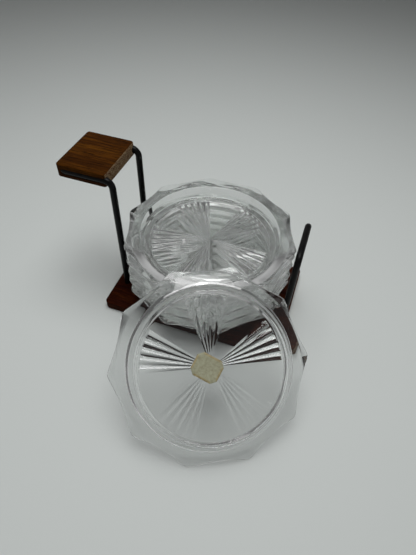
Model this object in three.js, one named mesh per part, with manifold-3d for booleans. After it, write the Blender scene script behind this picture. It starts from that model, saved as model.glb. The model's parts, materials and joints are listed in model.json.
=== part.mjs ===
// Six pressed-glass dishes (coasters) with scalloped rims, and the teak and wire caddy that holds them.
// Millimetres, +Z up, +X from the grip towards the stop loop.
// The origin is the centre of the base board's underside, on the table.
import * as THREE from 'three';
import * as BufferGeometryUtils from 'three/addons/utils/BufferGeometryUtils.js';
import Module from 'manifold-3d';

const wasm = await Module();
wasm.setup();

// ---------------------------------------------------------------- driving dimensions
const gap = 0.3;                    // air left between pieces that touch

const boardLength = 116.5;          // along X
const boardWidth = 75;              // along Y
const boardThickness = 6.4;
const boardCorner = 3;
const boardEase = 0.6;              // chamfer on the board's edges

const wireRadius = 1.9;
const wireSides = 10;
const socketFloor = 1.4;            // wood left under each drilled socket

const handleX = -51.35;             // the handle wire's two legs
const handleHalfSpan = 16.8;
const handleBend = 4.5;             // centreline radius of its bends
const handleLoopZ = 89.2;           // centreline height of the loop that holds the grip
const handleReach = -83.6;          // outer end of that loop

const gripCentreX = -69.5;
const gripLength = 30.2;
const gripWidth = 36.6;
const gripThickness = 8.4;
const gripTop = 93.4;
const gripCorner = 1.6;
const gripEase = 0.6;

const stopX = 55.3;                 // the stop loop's legs
const stopHalfSpan = 16;
const stopTop = 66.5;
const stopBend = 5;

const tipCount = 10;
const tipRadius = 53.6;             // centre of a dish to a point of its rim
const fluteDip = 1.3;               // how far each flute curves in behind the line between two tips
const dishHeight = 14;
const rimThickness = 4.4;
const rimEase = 0.7;
const fluteDraft = 1.6;             // how far the outer edge slopes in towards the underside, in a flute
const tipDraft = 4.8;               // the same at a tip
const recessMouthRadius = 42.6;
const recessFloorRadius = 39.9;
const recessFloorZ = 7.9;
const recessFillet = 0.35;
const undersideZ = 5.6;             // plain glass of the underside, above the foot's crest
const footInnerRadius = 37.6;
const footCrestInner = 38.4;
const footCrestOuter = 39;
const footEase = 0.4;
const flangeRootRadius = 42.2;      // where the foot's outer wall turns out into the flange
const flangeRootZ = 6.2;
const stationsPerTip = 4;           // facets from one tip to the next

const ribGroups = 5;
const ribsPerGroup = 5;
const ribPitch = 7.2;               // degrees
const ribInnerRadius = 5;
const ribOuterRadius = 36.4;
const ribHeight = 1.4;              // at the outer end
const ribRoot = 0.4;                // how deep a rib's body starts inside the glass

const stackX = -0.5;
const stackY = 3.5;
const stackPitch = recessFloorZ + gap;
const stackTurns = [43, 41.2, 42.4, 41.6, 37.2]; // degrees, bottom dish to top dish

const leanTilt = 37.3;              // slope of the leaning dish's rim plane up from the table, degrees
const leanHeading = 26.5;           // how far it faces to the right of straight forward, degrees
const leanAcross = -9.1;            // its centre, measured along its own width
const leanSetback = 75.65;          // its centre, measured forward along the table: it meets the top dish
const leanClearance = 0.05;         // air under the two tips it stands on
const leanTurn = 36;                // degrees about its own axis

const labelLength = 15.2;
const labelWidth = 12.9;
const labelThickness = 0.25;
const labelCorner = 2.4;
const labelTurn = 33;               // degrees about the leaning dish's axis
const labelOffset = [-2.3, 0.2];    // from the middle of the ribs

// ---------------------------------------------------------------- materials
const teak = new THREE.MeshStandardMaterial({ color: 0x5a2a12, roughness: 0.55, metalness: 0 });
const blackWire = new THREE.MeshStandardMaterial({ color: 0x101112, roughness: 0.4, metalness: 0.6 });
const clearGlass = new THREE.MeshStandardMaterial({
  color: 0xdfe7e4, roughness: 0.05, metalness: 0, transparent: true, opacity: 0.35,
});
const creamPaper = new THREE.MeshStandardMaterial({ color: 0xcfc49a, roughness: 0.7, metalness: 0 });

// ---------------------------------------------------------------- helpers
const radians = THREE.MathUtils.degToRad;

// A three.js geometry as a manifold solid.
function toSolid(geometry) {
  const bare = geometry.clone();
  bare.deleteAttribute('normal');
  bare.deleteAttribute('uv');
  const merged = BufferGeometryUtils.mergeVertices(bare, 1e-4);
  return new wasm.Manifold(new wasm.Mesh({
    numProp: 3,
    vertProperties: new Float32Array(merged.attributes.position.array),
    triVerts: new Uint32Array(merged.index.array),
  }));
}

// A manifold solid as a three.js geometry.
function toGeometry(solid) {
  const mesh = solid.getMesh();
  const geometry = new THREE.BufferGeometry();
  geometry.setAttribute('position', new THREE.BufferAttribute(new Float32Array(mesh.vertProperties), 3));
  geometry.setIndex(new THREE.BufferAttribute(new Uint32Array(mesh.triVerts), 1));
  geometry.computeVertexNormals();
  return geometry;
}

// A path whose samples fall on the given knots, so straight runs take one step and bends take several.
class KnotPath extends THREE.Curve {
  constructor(knots) {
    super();
    this.knots = knots;
  }

  getPoint(t, target = new THREE.Vector3()) {
    const last = this.knots.length - 1;
    const place = Math.min(Math.max(t, 0), 1) * last;
    const index = Math.min(Math.floor(place + 1e-9), last - 1);
    return target.lerpVectors(this.knots[index], this.knots[index + 1], place - index);
  }

  getUtoTmapping(u) {
    return u;
  }

  getTangent(t, target = new THREE.Vector3()) {
    const last = this.knots.length - 1;
    const index = Math.round(t * last);
    const before = this.knots[Math.max(index - 1, 0)];
    const here = this.knots[index];
    const after = this.knots[Math.min(index + 1, last)];
    const arriving = new THREE.Vector3().subVectors(here, before).normalize();
    const leaving = new THREE.Vector3().subVectors(after, here).normalize();
    return target.addVectors(arriving, leaving).normalize();
  }
}

// The knots of a bent rod: its corners, each rounded to the bend radius.
function roundedKnots(corners, bendRadius, bendSteps = 6) {
  const knots = [corners[0]];
  for (let i = 1; i < corners.length - 1; i += 1) {
    const into = new THREE.Vector3().subVectors(corners[i], corners[i - 1]).normalize();
    const out = new THREE.Vector3().subVectors(corners[i + 1], corners[i]).normalize();
    const centre = corners[i].clone().addScaledVector(into, -bendRadius).addScaledVector(out, bendRadius);
    for (let s = 0; s <= bendSteps; s += 1) {
      const turn = (Math.PI / 2) * (s / bendSteps);
      knots.push(centre.clone()
        .addScaledVector(out, -bendRadius * Math.cos(turn))
        .addScaledVector(into, bendRadius * Math.sin(turn)));
    }
  }
  knots.push(corners[corners.length - 1]);
  return knots;
}

// A round rod along the knots.
function rodGeometry(knots, radius, sides = wireSides) {
  const section = new THREE.Shape();
  section.absarc(0, 0, radius, 0, 2 * Math.PI, false);
  return new THREE.ExtrudeGeometry(section, {
    steps: knots.length - 1,
    curveSegments: sides / 2,
    extrudePath: new KnotPath(knots),
  });
}

// A slab with rounded corners and eased edges, its underside at z = 0.
function slabGeometry(length, width, thickness, corner, ease) {
  const x = length / 2;
  const y = width / 2;
  const outline = new THREE.Shape();
  outline.absarc(x - corner, y - corner, corner, 0, Math.PI / 2, false);
  outline.absarc(corner - x, y - corner, corner, Math.PI / 2, Math.PI, false);
  outline.absarc(corner - x, corner - y, corner, Math.PI, 1.5 * Math.PI, false);
  outline.absarc(x - corner, corner - y, corner, 1.5 * Math.PI, 2 * Math.PI, false);
  const slab = new THREE.ExtrudeGeometry(outline, {
    depth: thickness - 2 * ease,
    curveSegments: 3,
    bevelEnabled: true,
    bevelThickness: ease,
    bevelSize: ease,
    bevelOffset: -ease,
    bevelSegments: 1,
  });
  return slab.translate(0, 0, ease);
}

// ---------------------------------------------------------------- the wires
function handleKnots() {
  const y = handleHalfSpan;
  return roundedKnots([
    new THREE.Vector3(handleX, -y, socketFloor + gap),
    new THREE.Vector3(handleX, -y, handleLoopZ),
    new THREE.Vector3(handleReach, -y, handleLoopZ),
    new THREE.Vector3(handleReach, y, handleLoopZ),
    new THREE.Vector3(handleX, y, handleLoopZ),
    new THREE.Vector3(handleX, y, socketFloor + gap),
  ], handleBend);
}

function stopKnots() {
  return roundedKnots([
    new THREE.Vector3(stopX, -stopHalfSpan, socketFloor + gap),
    new THREE.Vector3(stopX, -stopHalfSpan, stopTop),
    new THREE.Vector3(stopX, stopHalfSpan, stopTop),
    new THREE.Vector3(stopX, stopHalfSpan, socketFloor + gap),
  ], stopBend);
}

// ---------------------------------------------------------------- the wooden pieces
// The base board, with a drilled socket for each of the four wire ends.
function boardGeometry() {
  let board = toSolid(slabGeometry(boardLength, boardWidth, boardThickness, boardCorner, boardEase));
  const feet = [[handleX, handleHalfSpan], [stopX, stopHalfSpan]];
  const drill = new THREE.CylinderGeometry(wireRadius + gap, wireRadius + gap, boardThickness, 12);
  drill.rotateX(Math.PI / 2);
  for (const [x, halfSpan] of feet) {
    for (const side of [-1, 1]) {
      const hole = drill.clone().translate(x, side * halfSpan, socketFloor + boardThickness / 2);
      board = board.subtract(toSolid(hole));
    }
  }
  return toGeometry(board);
}

// The grip block, with the groove round its front, outer end and back that the handle wire lies in.
function gripGeometry() {
  const slab = slabGeometry(gripLength, gripWidth, gripThickness, gripCorner, gripEase);
  slab.translate(gripCentreX, 0, gripTop - gripThickness);
  const groove = rodGeometry(handleKnots(), wireRadius + gap);
  return toGeometry(toSolid(slab).subtract(toSolid(groove)));
}

// ---------------------------------------------------------------- the glass dish
// Radius of the scalloped outline at an angle counted from a tip.
function outlineRadius(angle) {
  const sector = (2 * Math.PI) / tipCount;
  const fromFlute = (((angle % sector) + sector) % sector) - sector / 2;
  const chord = (tipRadius * Math.cos(sector / 2)) / Math.cos(fromFlute);
  return chord - fluteDip * Math.cos((Math.PI * fromFlute) / sector);
}

// How far the outer edge slopes in at an angle: least in the middle of a flute, most at a tip.
function edgeDraft(angle) {
  const inFlute = tipRadius * Math.cos(Math.PI / tipCount) - fluteDip;
  const share = (outlineRadius(angle) - inFlute) / (tipRadius - inFlute);
  return fluteDraft + (tipDraft - fluteDraft) * share;
}

// A closed skin through rings of points, with a pole at each end.
function ringSolid(rings, bottomZ, topZ) {
  const stations = tipCount * stationsPerTip;
  const positions = [0, 0, bottomZ, 0, 0, topZ];
  for (const ring of rings) {
    for (let i = 0; i < stations; i += 1) {
      const angle = (2 * Math.PI * i) / stations;
      const radius = ring.radius(angle);
      positions.push(radius * Math.cos(angle), radius * Math.sin(angle), ring.z);
    }
  }
  const vertex = (ring, i) => 2 + ring * stations + (i % stations);
  const faces = [];
  for (let i = 0; i < stations; i += 1) {
    faces.push(0, vertex(0, i + 1), vertex(0, i));
    for (let r = 0; r < rings.length - 1; r += 1) {
      faces.push(vertex(r, i), vertex(r, i + 1), vertex(r + 1, i + 1));
      faces.push(vertex(r, i), vertex(r + 1, i + 1), vertex(r + 1, i));
    }
    faces.push(1, vertex(rings.length - 1, i), vertex(rings.length - 1, i + 1));
  }
  const geometry = new THREE.BufferGeometry();
  geometry.setAttribute('position', new THREE.Float32BufferAttribute(positions, 3));
  geometry.setIndex(faces);
  return geometry;
}

// The dish without its ribs: foot ring, fluted flange, flat rim and round recess.
function dishBody() {
  const round = (radius, z) => ({ z, radius: () => radius });
  const scalloped = (inset, z) => ({ z, radius: (angle) => outlineRadius(angle) - inset });
  const flange = (share, z) => ({
    z,
    radius: (angle) => {
      const reach = outlineRadius(angle) - edgeDraft(angle) - flangeRootRadius;
      return flangeRootRadius + share * reach;
    },
  });
  return ringSolid([
    round(footInnerRadius, undersideZ),
    round(footCrestInner - footEase, footEase),
    round(footCrestInner, 0),
    round(footCrestOuter, 0),
    round(footCrestOuter + footEase, footEase),
    round(flangeRootRadius, flangeRootZ),
    flange(0.5, flangeRootZ + 1.3),
    flange(1, dishHeight - rimThickness),
    scalloped(0, dishHeight - rimEase),
    scalloped(rimEase, dishHeight),
    round(recessMouthRadius, dishHeight),
    round(recessFloorRadius + recessFillet, recessFloorZ + recessFillet),
    round(recessFloorRadius, recessFloorZ),
  ], undersideZ, recessFloorZ);
}

// One rib: a roof-shaped ray on the underside that grows from the centre to its gable end.
function ribGeometry(angle) {
  const positions = [];
  for (const radius of [ribInnerRadius, ribOuterRadius]) {
    const height = (ribHeight * radius) / ribOuterRadius;
    const halfWidth = radius * Math.tan(radians(ribPitch / 2)) * ((height + ribRoot) / height);
    for (const [across, z] of [[-halfWidth, undersideZ + ribRoot], [halfWidth, undersideZ + ribRoot],
      [0, undersideZ - height]]) {
      positions.push(
        radius * Math.cos(angle) - across * Math.sin(angle),
        radius * Math.sin(angle) + across * Math.cos(angle),
        z,
      );
    }
  }
  const geometry = new THREE.BufferGeometry();
  geometry.setAttribute('position', new THREE.Float32BufferAttribute(positions, 3));
  geometry.setIndex([0, 1, 2, 3, 5, 4, 0, 4, 1, 0, 3, 4, 1, 5, 2, 1, 4, 5, 2, 3, 0, 2, 5, 3]);
  return geometry;
}

// The whole dish: foot crest at z = 0, rim uppermost, a tip on +X.
function dishGeometry() {
  let dish = toSolid(dishBody());
  for (let group = 0; group < ribGroups; group += 1) {
    for (let rib = 0; rib < ribsPerGroup; rib += 1) {
      const angle = 180 / tipCount + (360 / ribGroups) * group + ribPitch * (rib - (ribsPerGroup - 1) / 2);
      dish = dish.add(toSolid(ribGeometry(radians(angle))));
    }
  }
  return toGeometry(dish);
}

// ---------------------------------------------------------------- the paper label
function labelGeometry() {
  const label = slabGeometry(labelLength, labelWidth, labelThickness, labelCorner, 0.05);
  const ribDepth = (ribHeight * Math.hypot(labelLength, labelWidth)) / 2 / ribOuterRadius;
  label.rotateZ(radians(labelTurn));
  return label.translate(labelOffset[0], labelOffset[1], undersideZ - ribDepth - gap - labelThickness);
}

// ---------------------------------------------------------------- assembly
const coasterSet = new THREE.Group();

function addPiece(parent, name, geometry, material) {
  const piece = new THREE.Mesh(geometry, material);
  piece.name = name;
  parent.add(piece);
  return piece;
}

addPiece(coasterSet, 'base_board', boardGeometry(), teak);
addPiece(coasterSet, 'handle_wire', rodGeometry(handleKnots(), wireRadius), blackWire);
addPiece(coasterSet, 'handle_grip', gripGeometry(), teak);
addPiece(coasterSet, 'stop_wire', rodGeometry(stopKnots(), wireRadius), blackWire);

// Five dishes stacked between the wires, each foot standing in the recess below it.
const dishShape = dishGeometry();
stackTurns.forEach((turn, index) => {
  const dish = addPiece(coasterSet, `dish_${index + 1}`, dishShape, clearGlass);
  dish.position.set(stackX, stackY, boardThickness + gap + index * stackPitch);
  dish.rotation.z = radians(turn);
});

// The sixth dish stands on two rim tips in front and leans on the stack, its underside outwards.
const leaning = new THREE.Group();
const across = new THREE.Vector3(Math.cos(radians(leanHeading)), Math.sin(radians(leanHeading)), 0);
const forward = new THREE.Vector3(across.y, -across.x, 0);
const outward = forward.clone().multiplyScalar(Math.sin(radians(leanTilt)));
outward.z = Math.cos(radians(leanTilt));
const towardsStack = new THREE.Vector3().crossVectors(outward, across);
const rimLow = (tipRadius - rimEase) * Math.cos(Math.PI / tipCount) * Math.sin(radians(leanTilt));
const rimCentre = across.clone().multiplyScalar(leanAcross).addScaledVector(forward, leanSetback);
rimCentre.z = rimLow + leanClearance;
leaning.matrixAutoUpdate = false;
leaning.matrix.makeBasis(across, towardsStack.clone().negate(), outward.clone().negate());
leaning.matrix.setPosition(rimCentre.addScaledVector(outward, dishHeight));
coasterSet.add(leaning);
const leaningDish = addPiece(leaning, 'leaning_dish', dishShape, clearGlass);
leaningDish.rotation.z = radians(leanTurn);
addPiece(leaning, 'paper_label', labelGeometry(), creamPaper);

export default coasterSet;
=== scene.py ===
"""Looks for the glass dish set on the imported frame: pressed glass, oiled teak, black wire, paper label."""
import json
import math

import bmesh
import bpy
import numpy as np
from mathutils import Matrix, Vector


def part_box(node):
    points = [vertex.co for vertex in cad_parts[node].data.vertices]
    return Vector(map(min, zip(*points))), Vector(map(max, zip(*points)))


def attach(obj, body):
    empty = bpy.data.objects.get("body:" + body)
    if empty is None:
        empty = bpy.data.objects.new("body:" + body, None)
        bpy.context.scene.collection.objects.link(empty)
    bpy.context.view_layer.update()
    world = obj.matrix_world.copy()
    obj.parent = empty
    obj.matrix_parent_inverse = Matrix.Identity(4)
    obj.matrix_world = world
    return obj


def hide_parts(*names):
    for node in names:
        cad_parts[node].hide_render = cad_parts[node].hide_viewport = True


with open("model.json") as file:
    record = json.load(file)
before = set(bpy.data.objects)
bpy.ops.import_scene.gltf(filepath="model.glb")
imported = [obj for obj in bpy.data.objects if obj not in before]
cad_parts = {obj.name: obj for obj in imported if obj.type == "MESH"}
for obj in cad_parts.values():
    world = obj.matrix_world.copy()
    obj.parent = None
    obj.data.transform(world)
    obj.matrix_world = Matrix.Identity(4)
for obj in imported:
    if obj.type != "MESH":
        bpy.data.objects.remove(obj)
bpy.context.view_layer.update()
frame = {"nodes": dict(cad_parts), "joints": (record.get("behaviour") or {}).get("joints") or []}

MM = 0.001

# ---------------------------------------------------------------- driving dimensions, in millimetres
WIRE_RADIUS = 1.9
HANDLE_BEND = 4.5
STOP_BEND = 5.0
SOCKET_GAP = 0.25
SOCKET_DROP = 0.3
CUT_PAST = 2.0
BEND_STEPS = 10
WIRE_SIDES = 24

BOARD_CORNER = 3.0
GRIP_CORNER = 1.8
BOARD_EASE = 0.7
GRIP_EASE = 0.8
CORNER_STEPS = 8
EASE_STEPS = 4

TIP_COUNT = 10
TIP_RADIUS = 53.6
FLUTE_DIP = 1.3
TIP_ROUNDING = 0.4
TIP_ROUNDING_ANGLE = 1.3
DISH_HEIGHT = 14.0
RIM_THICKNESS = 4.4
RIM_ROUNDING = 0.8
MOUTH_ROUNDING = 0.6
FLOOR_FILLET = 0.9
RECESS_MOUTH = 42.6
RECESS_FLOOR = 39.9
RECESS_FLOOR_Z = 7.9
UNDERSIDE_Z = 5.6
FOOT_INNER = 37.6
FOOT_CREST_INNER = 38.4
FOOT_CREST_OUTER = 39.0
FLANGE_ROOT = 42.2
FLANGE_ROOT_Z = 6.2
RIB_GROUPS = 5
RIBS_PER_GROUP = 5
RIB_PITCH = 7.2
RIB_OUTER = 36.2
RIB_GABLE = 0.5
RIB_HEIGHT = 1.4
RIB_BULGE = 1.4
EDGE_DRAFT = 1.6
TIP_DRAFT = 4.8

# Degrees that each dish is turned in the stack, and how the leaning one is turned about its own axis.
DISH_TURNS = {"dish_1": 43, "dish_2": 41.2, "dish_3": 42.4, "dish_4": 41.6, "dish_5": 37.2}
LEANING_TURN = 36

LABEL_LENGTH = 15.2
LABEL_WIDTH = 12.9
LABEL_THICKNESS = 0.22
LABEL_CORNER = 2.6
LABEL_BORDER = 1.1
LABEL_TURN = 33

CAMERA_PLACE = (0.0563, -0.1839, 0.2328)
CAMERA_PITCH = 48.76
CAMERA_ROLL = 2.86
CAMERA_HEADING = 16.87
CAMERA_LENS = 28.1
SENSOR_WIDTH = 36

FLOOR_HALF_SIDE = 3.0
GLASS_IOR = 1.5
# How much light a glass lets on to what lies behind it, from face-on (0) to edge-on (1).
SHADOW_SHARES = ((0.0, 0.98), (0.22, 0.96), (0.36, 0.85), (0.65, 0.8), (1.0, 0.4))


# ---------------------------------------------------------------- node helpers
def new_material(name):
    material = bpy.data.materials.new(name)
    material.use_nodes = True
    tree = material.node_tree
    return material, tree, tree.nodes["Principled BSDF"]


def node(tree, kind, **settings):
    made = tree.nodes.new(kind)
    for key, value in settings.items():
        setattr(made, key, value)
    return made


def link(tree, source, target):
    tree.links.new(source, target)


def stretched(tree, scale, offset=(0, 0, 0)):
    """Object coordinates, scaled per axis, in cycles per metre."""
    coordinates = node(tree, "ShaderNodeTexCoord")
    mapping = node(tree, "ShaderNodeMapping")
    mapping.inputs["Scale"].default_value = scale
    mapping.inputs["Location"].default_value = offset
    link(tree, coordinates.outputs["Object"], mapping.inputs["Vector"])
    return mapping.outputs["Vector"]


def noise(tree, vector, detail, roughness=0.5, distortion=0.0):
    made = node(tree, "ShaderNodeTexNoise")
    made.inputs["Scale"].default_value = 1.0
    made.inputs["Detail"].default_value = detail
    made.inputs["Roughness"].default_value = roughness
    made.inputs["Distortion"].default_value = distortion
    link(tree, vector, made.inputs["Vector"])
    return made.outputs["Fac"]


def ramp(tree, factor, stops):
    made = node(tree, "ShaderNodeValToRGB")
    elements = made.color_ramp.elements
    while len(elements) < len(stops):
        elements.new(0.5)
    for element, (place, colour) in zip(elements, stops):
        element.position = place
        element.color = (*colour, 1)
    link(tree, factor, made.inputs["Fac"])
    return made.outputs["Color"]


def grey(value):
    return (value, value, value)


def mix_colour(tree, factor, first, second):
    made = node(tree, "ShaderNodeMix", data_type="RGBA")
    if isinstance(factor, float):
        made.inputs["Factor"].default_value = factor
    else:
        link(tree, factor, made.inputs["Factor"])
    for socket, value in ((made.inputs[6], first), (made.inputs[7], second)):
        if isinstance(value, tuple):
            socket.default_value = (*value, 1)
        else:
            link(tree, value, socket)
    return made.outputs[2]


def bump(tree, height, strength, distance, normal=None):
    made = node(tree, "ShaderNodeBump")
    made.inputs["Strength"].default_value = strength
    made.inputs["Distance"].default_value = distance
    link(tree, height, made.inputs["Height"])
    if normal is not None:
        link(tree, normal, made.inputs["Normal"])
    return made.outputs["Normal"]


# ---------------------------------------------------------------- materials
def glass_material(name, roughness, tint, shadow):
    """Clear pressed glass, a little wavy from fire polishing. For shadow rays it is transparent instead."""
    material, tree, shader = new_material(name)
    shader.inputs["Base Color"].default_value = (*tint, 1)
    shader.inputs["Roughness"].default_value = roughness
    shader.inputs["IOR"].default_value = GLASS_IOR
    shader.inputs["Transmission Weight"].default_value = 1.0
    slow = noise(tree, stretched(tree, (110, 110, 110)), detail=1.5)
    link(tree, bump(tree, slow, 0.08, 0.0003), shader.inputs["Normal"])
    facing = node(tree, "ShaderNodeLayerWeight")
    facing.inputs["Blend"].default_value = 0.5
    stops = [(place, grey(share * shadow)) for place, share in SHADOW_SHARES]
    let_through = ramp(tree, facing.outputs["Facing"], stops)
    see_through = node(tree, "ShaderNodeBsdfTransparent")
    link(tree, let_through, see_through.inputs["Color"])
    ray = node(tree, "ShaderNodeLightPath")
    mixed = node(tree, "ShaderNodeMixShader")
    link(tree, ray.outputs["Is Shadow Ray"], mixed.inputs[0])
    link(tree, shader.outputs["BSDF"], mixed.inputs[1])
    link(tree, see_through.outputs["BSDF"], mixed.inputs[2])
    link(tree, mixed.outputs["Shader"], tree.nodes["Material Output"].inputs["Surface"])
    return material


def end_grain_share(tree):
    """One on the sawn ends, whose faces look along X, and zero on the long-grain faces."""
    coordinates = node(tree, "ShaderNodeTexCoord")
    split = node(tree, "ShaderNodeSeparateXYZ")
    link(tree, coordinates.outputs["Normal"], split.inputs["Vector"])
    square = node(tree, "ShaderNodeMath", operation="MULTIPLY")
    link(tree, split.outputs["X"], square.inputs[0])
    link(tree, split.outputs["X"], square.inputs[1])
    return ramp(tree, square.outputs["Value"], [(0.45, grey(0.0)), (0.8, grey(1.0))])


def teak_material(name, dark, middle, light, seed):
    """Oiled teak with its grain along X: growth bands, dark pores, worn streaks and dry speckled ends."""
    material, tree, shader = new_material(name)
    along = stretched(tree, (10, 130, 160), (seed, 0, 0))
    bands = noise(tree, along, detail=5, roughness=0.65, distortion=0.8)
    colour = ramp(tree, bands, [(0.32, dark), (0.50, middle), (0.70, light)])
    streaks = noise(tree, stretched(tree, (45, 620, 700), (0, seed, 0)), detail=4, roughness=0.75)
    streak_mask = ramp(tree, streaks, [(0.40, grey(0.0)), (0.58, grey(1.0))])
    colour = mix_colour(tree, streak_mask, mix_colour(tree, 0.7, colour, dark), colour)
    pores = noise(tree, stretched(tree, (110, 2400, 2400), (0, 0, seed)), detail=2, roughness=0.6)
    pore_mask = ramp(tree, pores, [(0.36, grey(1.0)), (0.44, grey(0.0))])
    colour = mix_colour(tree, pore_mask, colour, tuple(0.3 * v for v in dark))
    speckle = noise(tree, stretched(tree, (900, 1500, 1500), (seed, seed, 0)), detail=3, roughness=0.8)
    paler = tuple(v + 0.045 for v in light)
    bleached = tuple(1.4 * v + added for v, added in zip(light, (0.20, 0.22, 0.15)))
    dry = ramp(tree, speckle, [(0.36, middle), (0.47, paler), (0.62, bleached)])
    colour = mix_colour(tree, end_grain_share(tree), colour, dry)
    link(tree, colour, shader.inputs["Base Color"])
    link(tree, ramp(tree, bands, [(0.3, grey(0.5)), (0.7, grey(0.65))]), shader.inputs["Roughness"])
    shader.inputs["Specular IOR Level"].default_value = 0.02
    grain = bump(tree, streaks, 0.25, 0.0002)
    link(tree, bump(tree, pores, 0.5, 0.0002, grain), shader.inputs["Normal"])
    return material


def wire_material():
    """Satin black paint on steel, with a faint unevenness and dull patches."""
    material, tree, shader = new_material("black_wire")
    patches = noise(tree, stretched(tree, (300, 300, 300)), detail=3)
    link(tree, ramp(tree, patches, [(0.35, grey(0.002)), (0.75, grey(0.006))]), shader.inputs["Base Color"])
    link(tree, ramp(tree, patches, [(0.3, grey(0.28)), (0.7, grey(0.45))]), shader.inputs["Roughness"])
    shader.inputs["Specular IOR Level"].default_value = 0.12
    pits = noise(tree, stretched(tree, (2500, 2500, 2500)), detail=2)
    link(tree, bump(tree, pits, 0.15, 0.0001), shader.inputs["Normal"])
    return material


def paper_material(name, pale, stained):
    """Aged label paper, mottled where the varnish has yellowed."""
    material, tree, shader = new_material(name)
    mottle = noise(tree, stretched(tree, (700, 700, 700)), detail=5, roughness=0.65)
    link(tree, ramp(tree, mottle, [(0.35, stained), (0.62, pale)]), shader.inputs["Base Color"])
    shader.inputs["Roughness"].default_value = 0.6
    fibres = noise(tree, stretched(tree, (3000, 3000, 3000)), detail=2)
    link(tree, bump(tree, fibres, 0.3, 0.0001), shader.inputs["Normal"])
    return material


def floor_material():
    """Matte pale grey-green paper sweep."""
    material, tree, shader = new_material("pale_floor")
    shader.inputs["Base Color"].default_value = (0.60, 0.63, 0.615, 1)
    shader.inputs["Roughness"].default_value = 0.7
    shader.inputs["Specular IOR Level"].default_value = 0.2
    return material


# ---------------------------------------------------------------- mesh helpers
def make_object(name, vertices, faces, material, sharp_angle=None):
    mesh = bpy.data.meshes.new(name)
    mesh.from_pydata([tuple(v) for v in vertices], [], faces)
    mesh.validate()
    made = bpy.data.objects.new(name, mesh)
    bpy.context.scene.collection.objects.link(made)
    mesh.materials.append(material)
    outward_faces(mesh)
    smooth(mesh, sharp_angle)
    return made


def outward_faces(mesh):
    body = bmesh.new()
    body.from_mesh(mesh)
    bmesh.ops.recalc_face_normals(body, faces=body.faces)
    body.to_mesh(mesh)
    body.free()


def smooth(mesh, sharp_angle):
    mesh.shade_smooth()
    if sharp_angle is not None:
        mesh.set_sharp_from_angle(angle=math.radians(sharp_angle))


def skin(rings, bottom, top):
    """Vertices and faces of a closed skin through equal rings of points, with a pole at each end."""
    count = len(rings[0])
    vertices = [bottom, top]
    for ring in rings:
        vertices.extend(ring)
    faces = []
    for i in range(count):
        j = (i + 1) % count
        faces.append((0, 2 + j, 2 + i))
        last = 2 + (len(rings) - 1) * count
        faces.append((1, last + i, last + j))
    for r in range(len(rings) - 1):
        low = 2 + r * count
        high = low + count
        for i in range(count):
            j = (i + 1) % count
            faces.append((low + i, low + j, high + j, high + i))
    return vertices, faces


# ---------------------------------------------------------------- the pressed-glass dish
def station_angles():
    """Directions round the dish: close together on the rib crests and at the rim tips."""
    across_rib = (-3.6, -3.1, -2.4, -1.7, -1.1, -0.6, -0.2, 0.2, 0.6, 1.1, 1.7, 2.4, 3.1)
    degrees = []
    for group in range(RIB_GROUPS):
        start = group * 360 / RIB_GROUPS
        for rib in range(RIBS_PER_GROUP):
            crest = start + (rib + 0.5) * RIB_PITCH
            degrees.extend(crest + offset for offset in across_rib)
        plain = start + RIBS_PER_GROUP * RIB_PITCH
        degrees.extend(plain + offset for offset in (0, 0.3, 0.9))
        degrees.extend(plain + 1.8 * step for step in range(1, 20))
        degrees.extend(plain + offset for offset in (35.1, 35.7))
    return np.radians(degrees)


def outline_radius(angle):
    sector = 2 * math.pi / TIP_COUNT
    from_flute = np.mod(angle, sector) - sector / 2
    chord = TIP_RADIUS * math.cos(sector / 2) / np.cos(from_flute)
    to_tip = sector / 2 - np.abs(from_flute)
    rounding = TIP_ROUNDING * np.exp(-((to_tip / math.radians(TIP_ROUNDING_ANGLE)) ** 2))
    return chord - FLUTE_DIP * np.cos(math.pi * from_flute / sector) - rounding


def edge_draft(edge):
    """How far the outer wall slopes in towards the underside: little in the flutes, more at the tips."""
    in_flute = TIP_RADIUS * math.cos(math.pi / TIP_COUNT) - FLUTE_DIP
    share = np.clip((edge - in_flute) / (TIP_RADIUS - in_flute), 0, 1)
    return EDGE_DRAFT + (TIP_DRAFT - EDGE_DRAFT) * share


def rib_profile(angle):
    """Height share of the ribs round the underside: ridges with bulging sides, nothing between groups."""
    in_period = np.mod(np.degrees(angle) + 1e-6, 360 / RIB_GROUPS) - 1e-6
    from_crest = np.abs(np.mod(in_period, RIB_PITCH) - RIB_PITCH / 2) / (RIB_PITCH / 2)
    ridge = 1 - from_crest ** RIB_BULGE
    return np.where(in_period < RIBS_PER_GROUP * RIB_PITCH, ridge, 0)


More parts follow.
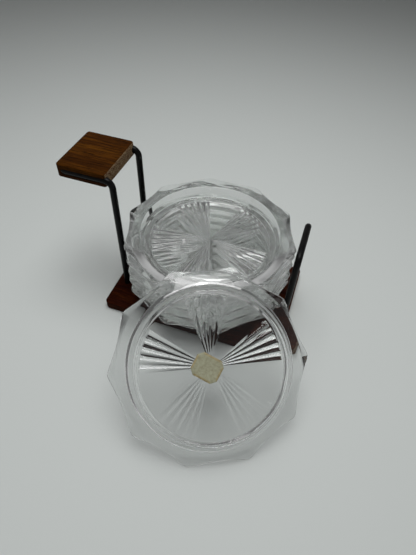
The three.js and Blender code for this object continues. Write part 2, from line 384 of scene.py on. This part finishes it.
def dish_rings(angle):
    """(radius, z) pairs from the middle of the underside, round the rim, to the middle of the recess."""
    flat = np.ones_like(angle)
    edge = outline_radius(angle)
    ribs = rib_profile(angle)
    rings = []

    def add(radius, z):
        rings.append((radius * flat, z * flat))

    def add_arc(centre_r, centre_z, radius, start, end, steps):
        for s in range(steps + 1):
            turn = math.radians(start + (end - start) * s / steps)
            add(centre_r + radius * math.cos(turn), centre_z + radius * math.sin(turn))

    for radius in (1.0, 2.0, 3.5, 5, 7, 9, 12, 15, 18, 21, 24, 27, 30, 33, RIB_OUTER):
        add(radius, UNDERSIDE_Z - RIB_HEIGHT * (radius / RIB_OUTER) * ribs)
    add(RIB_OUTER + RIB_GABLE, UNDERSIDE_Z)
    add(FOOT_INNER - 0.35, UNDERSIDE_Z)
    add(FOOT_INNER - 0.1, UNDERSIDE_Z - 0.1)
    add(FOOT_INNER + 0.02, UNDERSIDE_Z - 0.35)
    add(FOOT_CREST_INNER - 0.42, 0.8)
    crest = (FOOT_CREST_INNER + FOOT_CREST_OUTER) / 2
    crest_radius = crest - FOOT_CREST_INNER + 0.35
    add_arc(crest, crest_radius, crest_radius, 190, 340, 8)
    slope = (FLANGE_ROOT - FOOT_CREST_OUTER - 0.4) / (FLANGE_ROOT_Z - 0.4)
    for z in (1.6, 3.0, 4.4, FLANGE_ROOT_Z - 0.6):
        add(FOOT_CREST_OUTER + 0.4 + slope * (z - 0.4), z)
    add(FLANGE_ROOT, FLANGE_ROOT_Z - 0.05)
    low_z = DISH_HEIGHT - RIM_THICKNESS - 0.3
    draft = edge_draft(edge)
    low_edge = edge - draft
    for share in (0.06, 0.14, 0.25, 0.38, 0.52, 0.66, 0.8, 0.92, 0.985):
        reach = FLANGE_ROOT + share * (low_edge - FLANGE_ROOT)
        add(reach, FLANGE_ROOT_Z + (low_z - FLANGE_ROOT_Z) * share ** 1.08)
    top_z = DISH_HEIGHT - 0.9
    for share in (0.04, 0.12, 0.5, 0.9):
        add(low_edge + share * (draft - 0.1), low_z + share * (top_z - low_z))
    rim_centre = edge - RIM_ROUNDING
    mouth_centre = RECESS_MOUTH + 0.5
    add_arc(rim_centre, DISH_HEIGHT - RIM_ROUNDING, RIM_ROUNDING, -10, 90, 7)
    for share in (0.15, 0.35, 0.6, 0.85):
        add(rim_centre + share * (mouth_centre - rim_centre), DISH_HEIGHT)
    add_arc(mouth_centre, DISH_HEIGHT - MOUTH_ROUNDING, MOUTH_ROUNDING, 90, 160, 5)
    wall_top = RECESS_MOUTH - 0.15
    for share in (0.3, 0.6, 0.85):
        add(wall_top + share * (RECESS_FLOOR + 0.3 - wall_top),
            DISH_HEIGHT - 1.0 + share * (RECESS_FLOOR_Z + 1.3 - DISH_HEIGHT))
    add_arc(RECESS_FLOOR - 0.7, RECESS_FLOOR_Z + FLOOR_FILLET, FLOOR_FILLET, -20, -90, 5)
    for radius in (36, 30, 20, 10, 3):
        add(radius, RECESS_FLOOR_Z)
    return rings


def make_dish(name, placement, material):
    angle = station_angles()
    rings = []
    for radius, z in dish_rings(angle):
        rings.append(np.column_stack([radius * np.cos(angle), radius * np.sin(angle), z]))
    vertices, faces = skin(rings, (0, 0, UNDERSIDE_Z), (0, 0, RECESS_FLOOR_Z))
    placed = [placement @ (Vector(v) * MM) for v in vertices]
    return make_object(name, placed, faces, material, sharp_angle=28)


def upright_placement(cad_node, turn):
    low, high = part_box(cad_node)
    return Matrix.Translation(((low.x + high.x) / 2, (low.y + high.y) / 2, low.z)) @ turned(turn)


def turned(degrees):
    return Matrix.Rotation(math.radians(degrees), 4, "Z")


def leaning_placement():
    """The leaning dish's own frame, foot downwards, from its joint axis and the spread of its CAD solid."""
    axis = next(j["axis"] for j in frame["joints"] if j["child"] == "leaning_dish")
    outward = Vector(axis).normalized()
    across = Vector((0, 0, 1)).cross(outward).normalized()
    uphill = outward.cross(across)
    points = np.array([v.co for v in frame["nodes"]["leaning_dish"].data.vertices])
    centre = Vector((0, 0, 0))
    for direction in (across, uphill):
        spread = points @ np.array(direction)
        centre += direction * float((spread.min() + spread.max()) / 2)
    centre += outward * float((points @ np.array(outward)).max())
    basis = Matrix((across, -uphill, -outward)).transposed().to_4x4()
    return Matrix.Translation(centre) @ basis


# ---------------------------------------------------------------- the wires
def rounded_path(corners, bend_radius):
    """The centreline through the corners, each of them a right-angled bend of the given radius."""
    path = [corners[0]]
    for before, corner, after in zip(corners, corners[1:], corners[2:]):
        into = (corner - before).normalized()
        out = (after - corner).normalized()
        centre = corner - into * bend_radius + out * bend_radius
        for s in range(BEND_STEPS + 1):
            turn = math.pi / 2 * s / BEND_STEPS
            path.append(centre - out * bend_radius * math.cos(turn) + into * bend_radius * math.sin(turn))
    path.append(corners[-1])
    return path


def rod_mesh(path, radius):
    """Vertices and faces of a round rod along the path, carried without twist."""
    tangents = []
    for i, point in enumerate(path):
        before = path[max(i - 1, 0)]
        after = path[min(i + 1, len(path) - 1)]
        arriving = (point - before).normalized()
        leaving = (after - point).normalized()
        tangents.append((arriving + leaving).normalized())
    side = tangents[0].orthogonal().normalized()
    rings = []
    for point, tangent in zip(path, tangents):
        side = (side - tangent * side.dot(tangent)).normalized()
        other = tangent.cross(side)
        ring = []
        for s in range(WIRE_SIDES):
            turn = 2 * math.pi * s / WIRE_SIDES
            ring.append(point + (side * math.cos(turn) + other * math.sin(turn)) * radius)
        rings.append(ring)
    return skin(rings, path[0], path[-1])


def wire_box(cad_node):
    """Centreline extents of a wire, from its CAD box."""
    radius = WIRE_RADIUS * MM
    low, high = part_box(cad_node)
    return low + Vector((radius, radius, 0)), high - Vector((radius, radius, radius))


def handle_corners():
    low, high = wire_box("handle_wire")
    legs = [Vector((high.x, low.y, low.z)), Vector((high.x, low.y, high.z))]
    far = [Vector((low.x, low.y, high.z)), Vector((low.x, high.y, high.z))]
    return legs + far + [Vector((high.x, high.y, high.z)), Vector((high.x, high.y, low.z))]


def stop_corners():
    low, high = wire_box("stop_wire")
    x = (low.x + high.x) / 2
    return [Vector((x, low.y, low.z)), Vector((x, low.y, high.z)),
            Vector((x, high.y, high.z)), Vector((x, high.y, low.z))]


def make_wire(name, corners, bend_radius, material):
    path = rounded_path(corners, bend_radius * MM)
    vertices, faces = rod_mesh(path, WIRE_RADIUS * MM)
    return make_object(name, vertices, faces, material, sharp_angle=60)


# ---------------------------------------------------------------- the wooden pieces
def rounded_slab(name, low, high, corner, ease, material):
    """A board with rounded corners and softly sanded edges, from its lowest to its highest corner."""
    left, right = low.x + corner, high.x - corner
    front, back = low.y + corner, high.y - corner
    centres = ((right, back, 0), (left, back, 90), (left, front, 180), (right, front, 270))
    outline = []
    for centre_x, centre_y, start in centres:
        for s in range(CORNER_STEPS + 1):
            turn = math.radians(start + 90 * s / CORNER_STEPS)
            outline.append((centre_x, centre_y, math.cos(turn), math.sin(turn)))
    rings = []
    quarter = [math.pi / 2 * s / EASE_STEPS for s in range(EASE_STEPS + 1)]
    for turn in quarter:
        rings.append((corner - ease + ease * math.sin(turn), low.z + ease - ease * math.cos(turn)))
    for turn in quarter:
        rings.append((corner - ease + ease * math.cos(turn), high.z - ease + ease * math.sin(turn)))
    points = []
    for reach, z in rings:
        points.append([(x + reach * cx, y + reach * cy, z) for x, y, cx, cy in outline])
    middle = (low + high) / 2
    vertices, faces = skin(points, (middle.x, middle.y, low.z), (middle.x, middle.y, high.z))
    return make_object(name, vertices, faces, material, sharp_angle=35)


def cut(target, cutters):
    """Cuts each closed cutter out of the target mesh for good."""
    for index, (vertices, faces) in enumerate(cutters):
        cutter = make_object(f"cutter_{index}", vertices, faces, target.data.materials[0])
        modifier = target.modifiers.new("cut", "BOOLEAN")
        modifier.operation = "DIFFERENCE"
        modifier.solver = "EXACT"
        modifier.object = cutter
        graph = bpy.context.evaluated_depsgraph_get()
        result = bpy.data.meshes.new_from_object(target.evaluated_get(graph))
        target.modifiers.clear()
        target.data = result
        bpy.data.objects.remove(cutter)
    smooth(target.data, 35)
    return target


def make_board(material):
    low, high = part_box("base_board")
    board = rounded_slab("teak_base", low, high, BOARD_CORNER * MM, BOARD_EASE * MM, material)
    radius = (WIRE_RADIUS + SOCKET_GAP) * MM
    sockets = []
    for corners in (handle_corners(), stop_corners()):
        for foot in (corners[0], corners[-1]):
            above = Vector((foot.x, foot.y, high.z + CUT_PAST * MM))
            sockets.append(rod_mesh([foot - Vector((0, 0, SOCKET_DROP * MM)), above], radius))
    return cut(board, sockets)


def make_grip(material):
    low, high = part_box("handle_grip")
    grip = rounded_slab("teak_grip", low, high, GRIP_CORNER * MM, GRIP_EASE * MM, material)
    path = rounded_path(handle_corners(), HANDLE_BEND * MM)
    return cut(grip, [rod_mesh(path, (WIRE_RADIUS + SOCKET_GAP) * MM)])


# ---------------------------------------------------------------- the paper label
def label_outline(inset):
    x = LABEL_LENGTH / 2 - inset
    y = LABEL_WIDTH / 2 - inset
    c = LABEL_CORNER - inset * 0.5
    return [(x, y - c), (x - c, y), (c - x, y), (-x, y - c),
            (-x, c - y), (c - x, -y), (x - c, -y), (x, c - y)]


def make_label(paper, border):
    """A clipped-corner sticker: a cream field inside a printed border, on a thin slab of paper."""
    low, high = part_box("paper_label")
    placement = leaning_placement()
    centre = placement.inverted() @ ((low + high) / 2)
    # (inset, z) from the glued face over the edge to the printed face.
    layers = [(0.06, LABEL_THICKNESS), (0.0, LABEL_THICKNESS * 0.7), (0.0, 0.03), (0.06, 0.0),
              (LABEL_BORDER, -0.02), (LABEL_BORDER + 0.25, 0.0)]
    own = placement @ Matrix.Translation(centre) @ turned(LABEL_TURN)
    rings = []
    for inset, z in layers:
        outline = label_outline(inset)
        rings.append([own @ (Vector((x, y, z - LABEL_THICKNESS / 2)) * MM) for x, y in outline])
    ends = [own @ (Vector((0, 0, z - LABEL_THICKNESS / 2)) * MM) for z in (LABEL_THICKNESS, 0.0)]
    vertices, faces = skin(rings, ends[0], ends[1])
    label = make_object("label_sticker", vertices, faces, border, sharp_angle=30)
    label.data.materials.append(paper)
    field_x = LABEL_LENGTH / 2 - LABEL_BORDER
    field_y = LABEL_WIDTH / 2 - LABEL_BORDER
    for face in label.data.polygons:
        offset = (own.inverted() @ face.center) / MM
        if abs(offset.x) < field_x and abs(offset.y) < field_y:
            face.material_index = 1
    return label


# ---------------------------------------------------------------- stage, light and camera
def make_floor():
    side = FLOOR_HALF_SIDE
    corners = [(-side, -side, 0), (side, -side, 0), (side, side, 0), (-side, side, 0)]
    floor = make_object("floor", corners, [(0, 1, 2, 3)], floor_material())


def area_light(name, place, target, size, energy, spread=180, through_glass=True, on_matte=True):
    """A square lamp aimed at the target. It can be left out for rays through glass or for matte surfaces."""
    data = bpy.data.lights.new(name, "AREA")
    data.shape = "RECTANGLE"
    data.size = size
    data.size_y = size
    data.energy = energy
    data.spread = math.radians(spread)
    light = bpy.data.objects.new(name, data)
    bpy.context.scene.collection.objects.link(light)
    light.visible_transmission = through_glass
    light.visible_diffuse = on_matte
    light.location = place
    light.rotation_euler = (Vector(target) - Vector(place)).to_track_quat("-Z", "Y").to_euler()


def make_world():
    """A dim room, brightest at the horizon and darker overhead."""
    world = bpy.data.worlds.new("studio")
    bpy.context.scene.world = world
    world.use_nodes = True
    tree = world.node_tree
    background = tree.nodes["Background"]
    coordinates = node(tree, "ShaderNodeTexCoord")
    split = node(tree, "ShaderNodeSeparateXYZ")
    link(tree, coordinates.outputs["Generated"], split.inputs["Vector"])
    stops = [(0.0, grey(0.50)), (0.15, grey(0.42)), (0.33, grey(0.17)), (0.8, grey(0.09))]
    link(tree, ramp(tree, split.outputs["Z"], stops), background.inputs["Color"])


def make_camera():
    data = bpy.data.cameras.new("camera")
    data.lens = CAMERA_LENS
    data.sensor_width = SENSOR_WIDTH
    data.dof.use_dof = False
    data.clip_start = 0.01
    camera = bpy.data.objects.new("camera", data)
    bpy.context.scene.collection.objects.link(camera)
    heading = Matrix.Rotation(math.radians(CAMERA_HEADING), 4, "Z")
    tilt = Matrix.Rotation(math.radians(90 - CAMERA_PITCH), 4, "X")
    roll = Matrix.Rotation(math.radians(CAMERA_ROLL), 4, "Z")
    camera.matrix_world = Matrix.Translation(CAMERA_PLACE) @ heading @ tilt @ roll
    bpy.context.scene.camera = camera


def set_light_paths():
    """Lets light pass through the whole stack of dishes, and keeps bright specks down."""
    scene = bpy.context.scene
    scene.view_settings.view_transform = "Standard"
    scene.cycles.max_bounces = 32
    scene.cycles.transmission_bounces = 32
    scene.cycles.glossy_bounces = 12
    scene.cycles.diffuse_bounces = 4
    scene.cycles.transparent_max_bounces = 48
    scene.cycles.caustics_refractive = False
    scene.cycles.sample_clamp_indirect = 6.0


# ---------------------------------------------------------------- assembly
def install(piece, body, cad_node):
    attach(piece, body)
    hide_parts(cad_node)


def build():
    clear = glass_material("clear_glass", roughness=0.010, tint=(0.98, 0.99, 0.985), shadow=0.99)
    worn = glass_material("worn_glass", roughness=0.12, tint=(0.94, 0.955, 0.945), shadow=0.85)
    base_teak = teak_material("teak_base", dark=(0.012, 0.0018, 0.0008), middle=(0.032, 0.0055, 0.0015),
                              light=(0.066, 0.017, 0.003), seed=3.1)
    grip_teak = teak_material("teak_grip", dark=(0.020, 0.0055, 0.0006), middle=(0.055, 0.017, 0.0013),
                              light=(0.105, 0.038, 0.003), seed=8.4)
    wire = wire_material()
    install(make_board(base_teak), "caddy", "base_board")
    install(make_grip(grip_teak), "caddy", "handle_grip")
    handle = make_wire("wire_handle", handle_corners(), HANDLE_BEND, wire)
    install(handle, "caddy", "handle_wire")
    stop = make_wire("wire_stop", stop_corners(), STOP_BEND, wire)
    install(stop, "caddy", "stop_wire")
    for cad_node, turn in DISH_TURNS.items():
        glass = clear if cad_node == "dish_5" else worn
        dish = make_dish(f"glass_{cad_node}", upright_placement(cad_node, turn), glass)
        install(dish, cad_node, cad_node)
    leaning = make_dish("glass_leaning_dish", leaning_placement() @ turned(LEANING_TURN), clear)
    install(leaning, "leaning_dish", "leaning_dish")
    cream = paper_material("label_cream", pale=(0.36, 0.36, 0.25), stained=(0.26, 0.25, 0.16))
    tan = paper_material("label_border", pale=(0.36, 0.31, 0.17), stained=(0.24, 0.19, 0.09))
    install(make_label(cream, tan), "leaning_dish", "paper_label")


make_camera()
set_light_paths()
make_world()
area_light("overhead", (0.0, 0.03, 0.75), (0.0, -0.06, 0.0), 0.5, 1.46, spread=104, through_glass=False)
area_light("overhead_glow", (0.0, 0.08, 0.78), (0.0, -0.05, 0.0), 0.6, 0.41, spread=140)
area_light("overhead_glint", (0.0, 0.05, 0.74), (0.0, -0.05, 0.0), 0.12, 0.12, on_matte=False)
make_floor()
build()
